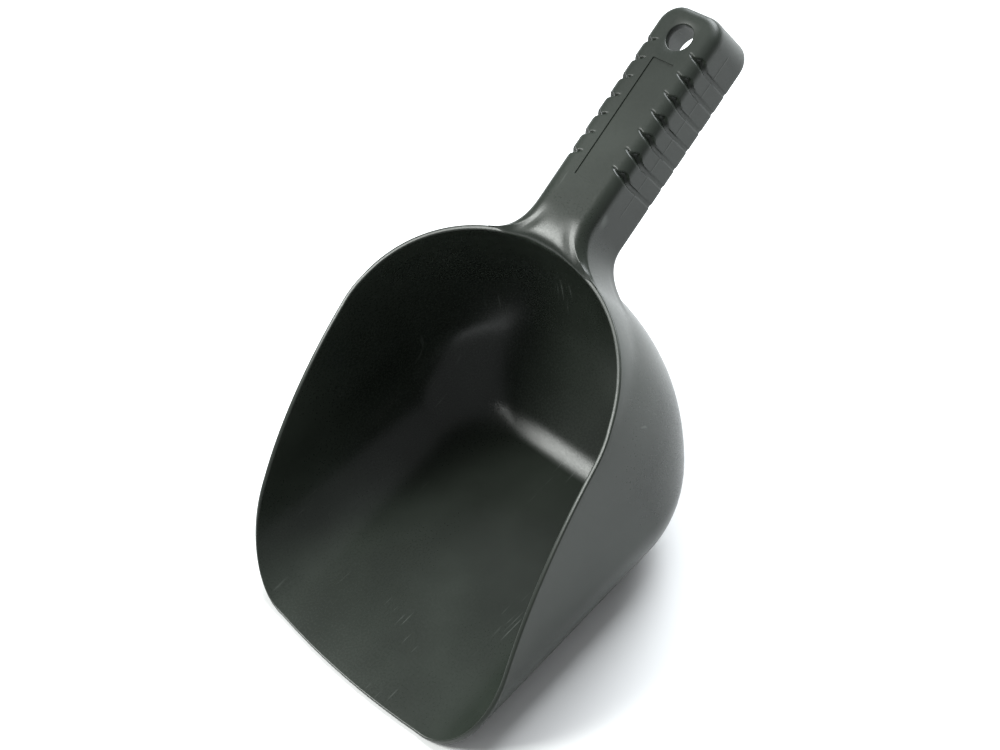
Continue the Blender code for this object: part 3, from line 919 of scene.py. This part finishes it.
def olive_plastic():
    """Semi-gloss moulded plastic: dark olive, with a fine grain, soft flow marks and a few scuffs."""
    material = bpy.data.materials.new("olive_plastic")
    material.use_nodes = True
    nodes, links = material.node_tree.nodes, material.node_tree.links
    shader = nodes["Principled BSDF"]
    shader.inputs["IOR"].default_value = 1.42
    place = nodes.new("ShaderNodeTexCoord").outputs["Object"]

    def noise(scale, detail, stretch=(1, 1, 1), turn=(0, 0, 0)):
        mapping = nodes.new("ShaderNodeMapping")
        mapping.inputs["Scale"].default_value = stretch
        mapping.inputs["Rotation"].default_value = turn
        links.new(place, mapping.inputs["Vector"])
        made = nodes.new("ShaderNodeTexNoise")
        made.inputs["Scale"].default_value = scale
        made.inputs["Detail"].default_value = detail
        links.new(mapping.outputs[0], made.inputs["Vector"])
        return made.outputs["Fac"]

    def spread(source, low, high, start, stop):
        made = nodes.new("ShaderNodeMapRange")
        links.new(source, made.inputs["Value"])
        for name, value in (("From Min", low), ("From Max", high), ("To Min", start), ("To Max", stop)):
            made.inputs[name].default_value = value
        return made.outputs[0]

    cloud = noise(22.0, 3.0)
    colour = nodes.new("ShaderNodeMix")
    colour.data_type = "RGBA"
    colour.inputs["A"].default_value = (0.0150, 0.0190, 0.0145, 1)
    colour.inputs["B"].default_value = (0.0230, 0.0285, 0.0225, 1)
    links.new(spread(cloud, 0.35, 0.65, 0.0, 1.0), colour.inputs["Factor"])

    scratches = spread(noise(60.0, 2.0, (12, 0.6, 1), (0.2, 0.1, 0.7)), 0.66, 0.72, 0.0, 1.0)
    patches = spread(noise(30.0, 2.0), 0.54, 0.68, 0.0, 1.0)
    scuffed = nodes.new("ShaderNodeMath")
    scuffed.operation = "MULTIPLY"
    links.new(scratches, scuffed.inputs[0])
    links.new(patches, scuffed.inputs[1])
    worn = nodes.new("ShaderNodeMix")
    worn.data_type = "RGBA"
    worn.inputs["B"].default_value = (0.080, 0.090, 0.080, 1)
    links.new(colour.outputs["Result"], worn.inputs["A"])
    links.new(scuffed.outputs[0], worn.inputs["Factor"])
    links.new(worn.outputs["Result"], shader.inputs["Base Color"])

    # The handle is duller than the bowl, from the bowl's back onwards
    gloss = nodes.new("ShaderNodeMath")
    gloss.operation = "ADD"
    axes = nodes.new("ShaderNodeSeparateXYZ")
    links.new(place, axes.inputs[0])
    duller = nodes.new("ShaderNodeMath")
    duller.operation = "ADD"
    links.new(spread(noise(9.0, 4.0), 0.3, 0.7, 0.24, 0.33), duller.inputs[0])
    links.new(spread(axes.outputs["Y"], 0.045, 0.075, 0.0, 0.13), duller.inputs[1])
    links.new(duller.outputs[0], gloss.inputs[0])
    links.new(spread(noise(900.0, 2.0), 0.3, 0.7, -0.02, 0.04), gloss.inputs[1])
    rubbed = nodes.new("ShaderNodeMath")
    rubbed.operation = "MULTIPLY_ADD"
    links.new(scuffed.outputs[0], rubbed.inputs[0])
    rubbed.inputs[1].default_value = 0.12
    links.new(gloss.outputs[0], rubbed.inputs[2])
    links.new(rubbed.outputs[0], shader.inputs["Roughness"])

    grain = nodes.new("ShaderNodeBump")
    grain.inputs["Strength"].default_value = 0.10
    grain.inputs["Distance"].default_value = 0.0001
    links.new(noise(1500.0, 3.0), grain.inputs["Height"])
    flow = nodes.new("ShaderNodeBump")
    flow.inputs["Strength"].default_value = 0.25
    flow.inputs["Distance"].default_value = 0.0012
    links.new(noise(14.0, 1.0), flow.inputs["Height"])
    links.new(flow.outputs[0], grain.inputs["Normal"])
    links.new(grain.outputs[0], shader.inputs["Normal"])
    return material


def finish_piece(piece, plastic, nodes):
    """Gives a piece its plastic, parents it to the root body and hides the CAD parts that it stands in for.
    """
    piece.data.materials.clear()
    piece.data.materials.append(plastic)
    piece.data.shade_smooth()
    piece.data.set_sharp_from_angle(angle=math.radians(50))
    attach(piece, "root")
    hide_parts(*nodes)


plastic = olive_plastic()
bowl = make_bowl()
finish_piece(bowl, plastic, (
    "bowl_floor", "bowl_right_wall", "bowl_left_wall",
    "bowl_right_corner", "bowl_left_corner", "bowl_back_wall",
))
blank = make_handle()
measure_grip(blank)
handle = cut_grooves(blank, plastic)
finish_piece(handle, plastic, (
    "handle_top_plate", "grip_right_side", "grip_left_side", "grip_end_wall",
    "neck_right_web", "neck_left_web", "neck_top",
))


# Studio ----------------------------------------------------------------------------------------

CAMERA_PLACE = (0.4454, -0.2314, 0.6378)
CAMERA_TURN = (38.8814, 15.6768, 45.7348)
CAMERA_LENS = 61.78


def make_camera():
    camera = bpy.data.objects.new("camera", bpy.data.cameras.new("camera"))
    camera.data.lens = CAMERA_LENS
    camera.data.sensor_width = 36.0
    camera.location = CAMERA_PLACE
    camera.rotation_euler = [math.radians(angle) for angle in CAMERA_TURN]
    bpy.context.scene.collection.objects.link(camera)
    bpy.context.scene.camera = camera


def make_floor():
    mesh = bpy.data.meshes.new("studio_floor")
    reach = 6.0
    corners = [(-reach, -reach, 0), (reach, -reach, 0), (reach, reach, 0), (-reach, reach, 0)]
    mesh.from_pydata(corners, [], [(0, 1, 2, 3)])
    paper = bpy.data.materials.new("studio_paper")
    paper.use_nodes = True
    shader = paper.node_tree.nodes["Principled BSDF"]
    shader.inputs["Base Color"].default_value = (0.90, 0.90, 0.90, 1)
    shader.inputs["Roughness"].default_value = 0.9
    mesh.materials.append(paper)
    floor = bpy.data.objects.new("studio_floor", mesh)
    bpy.context.scene.collection.objects.link(floor)


def softbox(name, place, aim, size, power, colour=(1, 1, 1)):
    light = bpy.data.lights.new(name, "AREA")
    light.shape = "RECTANGLE"
    light.size, light.size_y = size
    light.energy = power
    light.color = colour
    made = bpy.data.objects.new(name, light)
    made.location = place
    made.rotation_euler = (Vector(aim) - Vector(place)).to_track_quat("-Z", "Y").to_euler()
    bpy.context.scene.collection.objects.link(made)


def make_lights():
    softbox("softbox_behind", (-0.35, 1.45, 1.35), (0, 0.05, 0.05), (1.4, 1.4), 86, (0.93, 0.97, 1))
    softbox("softbox_left", (-0.97, -0.75, 1.25), (0, 0, 0.05), (0.62, 0.7), 28, (0.97, 1, 0.97))
    world = bpy.data.worlds.new("studio")
    world.use_nodes = True
    world.node_tree.nodes["Background"].inputs["Color"].default_value = (0.96, 0.98, 1, 1)
    world.node_tree.nodes["Background"].inputs["Strength"].default_value = 0.36
    bpy.context.scene.world = world
    bpy.context.scene.view_settings.view_transform = "Standard"


make_camera()
make_floor()
make_lights()
